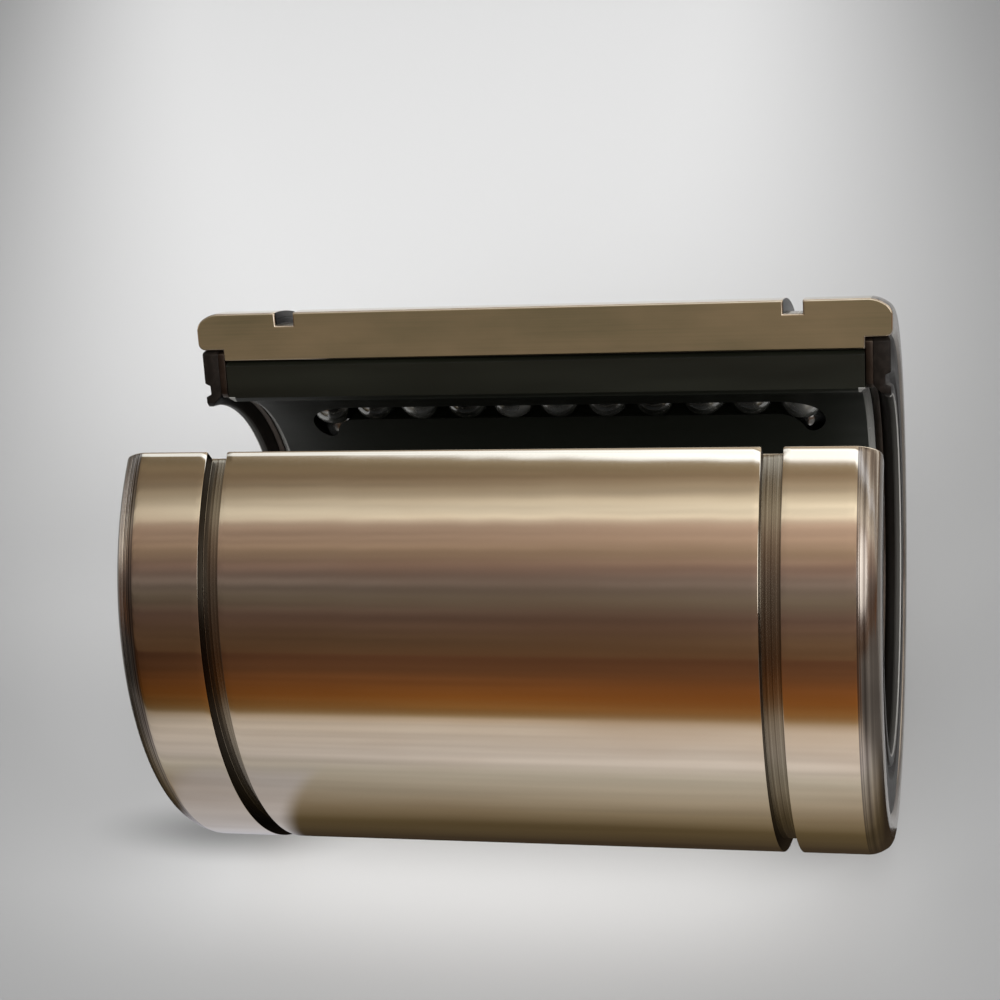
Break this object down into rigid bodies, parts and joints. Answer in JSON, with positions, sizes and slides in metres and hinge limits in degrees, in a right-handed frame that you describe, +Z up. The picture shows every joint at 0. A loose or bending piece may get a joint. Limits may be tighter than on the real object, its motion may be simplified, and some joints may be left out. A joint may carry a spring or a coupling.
{
  "type": "open-type linear ball bushing",
  "caption": "Slotted steel sleeve with a moulded cage of recirculating balls, rubber end seals and ring grooves; it runs along a shaft that is held by a rail through its slot.",
  "frame": {"origin": "middle of the shaft bore, halfway along the bushing", "axes": "+X along the shaft to the right end, +Z up through the middle of the slot, -Y the front"},
  "size_m": [0.08, 0.062, 0.0589],
  "materials": {
    "sleeve_steel": "ground",
    "ring_steel": "plain",
    "ball_steel": "polished",
    "retainer_resin": "moulded",
    "seal_rubber": "matt"
  },
  "bodies": {
    "bushing": {"outer_sleeve": "sleeve_steel", "ball_retainer": "retainer_resin", "left_side_ring": "ring_steel", "right_side_ring": "ring_steel", "left_end_seal": "seal_rubber", "right_end_seal": "seal_rubber"},
    "circuit_1_loaded_balls": {"circuit_1_loaded_balls": "ball_steel"},
    "circuit_1_return_balls": {"circuit_1_return_balls": "ball_steel"},
    "circuit_1_left_turn_balls": {"circuit_1_left_turn_balls": "ball_steel"},
    "circuit_1_right_turn_balls": {"circuit_1_right_turn_balls": "ball_steel"},
    "circuit_2_loaded_balls": {"circuit_2_loaded_balls": "ball_steel"},
    "circuit_2_return_balls": {"circuit_2_return_balls": "ball_steel"},
    "circuit_2_left_turn_balls": {"circuit_2_left_turn_balls": "ball_steel"},
    "circuit_2_right_turn_balls": {"circuit_2_right_turn_balls": "ball_steel"},
    "circuit_3_loaded_balls": {"circuit_3_loaded_balls": "ball_steel"},
    "circuit_3_return_balls": {"circuit_3_return_balls": "ball_steel"},
    "circuit_3_left_turn_balls": {"circuit_3_left_turn_balls": "ball_steel"},
    "circuit_3_right_turn_balls": {"circuit_3_right_turn_balls": "ball_steel"},
    "circuit_4_loaded_balls": {"circuit_4_loaded_balls": "ball_steel"},
    "circuit_4_return_balls": {"circuit_4_return_balls": "ball_steel"},
    "circuit_4_left_turn_balls": {"circuit_4_left_turn_balls": "ball_steel"},
    "circuit_4_right_turn_balls": {"circuit_4_right_turn_balls": "ball_steel"},
    "circuit_5_loaded_balls": {"circuit_5_loaded_balls": "ball_steel"},
    "circuit_5_return_balls": {"circuit_5_return_balls": "ball_steel"},
    "circuit_5_left_turn_balls": {"circuit_5_left_turn_balls": "ball_steel"},
    "circuit_5_right_turn_balls": {"circuit_5_right_turn_balls": "ball_steel"}
  },
  "joints": [
    {"name": "circuit_1_loaded_run", "type": "slide", "parent": "bushing", "child": "circuit_1_loaded_balls", "axis": [1, 0, 0], "range_m": [-0.00287, 0.00287]},
    {"name": "circuit_1_return_run", "type": "slide", "parent": "bushing", "child": "circuit_1_return_balls", "axis": [1, 0, 0], "range_m": [-0.00287, 0.00287]},
    {"name": "circuit_1_left_turn", "type": "hinge", "parent": "bushing", "child": "circuit_1_left_turn_balls", "pos_m": [-0.02587, 0.02177, 0.00787], "axis": [0, 0.866, 0.5], "range_deg": [-45, 45]},
    {"name": "circuit_1_right_turn", "type": "hinge", "parent": "bushing", "child": "circuit_1_right_turn_balls", "pos_m": [0.02587, 0.02177, 0.00787], "axis": [0, 0.866, 0.5], "range_deg": [-45, 45]},
    {"name": "circuit_2_loaded_run", "type": "slide", "parent": "bushing", "child": "circuit_2_loaded_balls", "axis": [1, 0, 0], "range_m": [-0.00287, 0.00287]},
    {"name": "circuit_2_return_run", "type": "slide", "parent": "bushing", "child": "circuit_2_return_balls", "axis": [1, 0, 0], "range_m": [-0.00287, 0.00287]},
    {"name": "circuit_2_left_turn", "type": "hinge", "parent": "bushing", "child": "circuit_2_left_turn_balls", "pos_m": [-0.02587, 0.0177, -0.01491], "axis": [0, 0.866, -0.5], "range_deg": [-45, 45]},
    {"name": "circuit_2_right_turn", "type": "hinge", "parent": "bushing", "child": "circuit_2_right_turn_balls", "pos_m": [0.02587, 0.0177, -0.01491], "axis": [0, 0.866, -0.5], "range_deg": [-45, 45]},
    {"name": "circuit_3_loaded_run", "type": "slide", "parent": "bushing", "child": "circuit_3_loaded_balls", "axis": [1, 0, 0], "range_m": [-0.00287, 0.00287]},
    {"name": "circuit_3_return_run", "type": "slide", "parent": "bushing", "child": "circuit_3_return_balls", "axis": [1, 0, 0], "range_m": [-0.00287, 0.00287]},
    {"name": "circuit_3_left_turn", "type": "hinge", "parent": "bushing", "child": "circuit_3_left_turn_balls", "pos_m": [-0.02587, -0.00407, -0.02279], "axis": [0, 0, -1], "range_deg": [-45, 45]},
    {"name": "circuit_3_right_turn", "type": "hinge", "parent": "bushing", "child": "circuit_3_right_turn_balls", "pos_m": [0.02587, -0.00407, -0.02279], "axis": [0, 0, -1], "range_deg": [-45, 45]},
    {"name": "circuit_4_loaded_run", "type": "slide", "parent": "bushing", "child": "circuit_4_loaded_balls", "axis": [1, 0, 0], "range_m": [-0.00287, 0.00287]},
    {"name": "circuit_4_return_run", "type": "slide", "parent": "bushing", "child": "circuit_4_return_balls", "axis": [1, 0, 0], "range_m": [-0.00287, 0.00287]},
    {"name": "circuit_4_left_turn", "type": "hinge", "parent": "bushing", "child": "circuit_4_left_turn_balls", "pos_m": [-0.02587, -0.02177, -0.00787], "axis": [0, -0.866, -0.5], "range_deg": [-45, 45]},
    {"name": "circuit_4_right_turn", "type": "hinge", "parent": "bushing", "child": "circuit_4_right_turn_balls", "pos_m": [0.02587, -0.02177, -0.00787], "axis": [0, -0.866, -0.5], "range_deg": [-45, 45]},
    {"name": "circuit_5_loaded_run", "type": "slide", "parent": "bushing", "child": "circuit_5_loaded_balls", "axis": [1, 0, 0], "range_m": [-0.00287, 0.00287]},
    {"name": "circuit_5_return_run", "type": "slide", "parent": "bushing", "child": "circuit_5_return_balls", "axis": [1, 0, 0], "range_m": [-0.00287, 0.00287]},
    {"name": "circuit_5_left_turn", "type": "hinge", "parent": "bushing", "child": "circuit_5_left_turn_balls", "pos_m": [-0.02587, -0.0177, 0.01491], "axis": [0, -0.866, 0.5], "range_deg": [-45, 45]},
    {"name": "circuit_5_right_turn", "type": "hinge", "parent": "bushing", "child": "circuit_5_right_turn_balls", "pos_m": [0.02587, -0.0177, 0.01491], "axis": [0, -0.866, 0.5], "range_deg": [-45, 45]}
  ],
  "couplings": [
    {"joint": "circuit_1_return_run", "follows": "circuit_1_loaded_run", "ratio": -1},
    {"joint": "circuit_1_left_turn", "follows": "circuit_1_loaded_run", "rad_per_m": 273.22},
    {"joint": "circuit_1_right_turn", "follows": "circuit_1_loaded_run", "rad_per_m": 273.22},
    {"joint": "circuit_2_return_run", "follows": "circuit_2_loaded_run", "ratio": -1},
    {"joint": "circuit_2_left_turn", "follows": "circuit_2_loaded_run", "rad_per_m": 273.22},
    {"joint": "circuit_2_right_turn", "follows": "circuit_2_loaded_run", "rad_per_m": 273.22},
    {"joint": "circuit_3_return_run", "follows": "circuit_3_loaded_run", "ratio": -1},
    {"joint": "circuit_3_left_turn", "follows": "circuit_3_loaded_run", "rad_per_m": 273.22},
    {"joint": "circuit_3_right_turn", "follows": "circuit_3_loaded_run", "rad_per_m": 273.22},
    {"joint": "circuit_4_return_run", "follows": "circuit_4_loaded_run", "ratio": -1},
    {"joint": "circuit_4_left_turn", "follows": "circuit_4_loaded_run", "rad_per_m": 273.22},
    {"joint": "circuit_4_right_turn", "follows": "circuit_4_loaded_run", "rad_per_m": 273.22},
    {"joint": "circuit_5_return_run", "follows": "circuit_5_loaded_run", "ratio": -1},
    {"joint": "circuit_5_left_turn", "follows": "circuit_5_loaded_run", "rad_per_m": 273.22},
    {"joint": "circuit_5_right_turn", "follows": "circuit_5_loaded_run", "rad_per_m": 273.22}
  ]
}
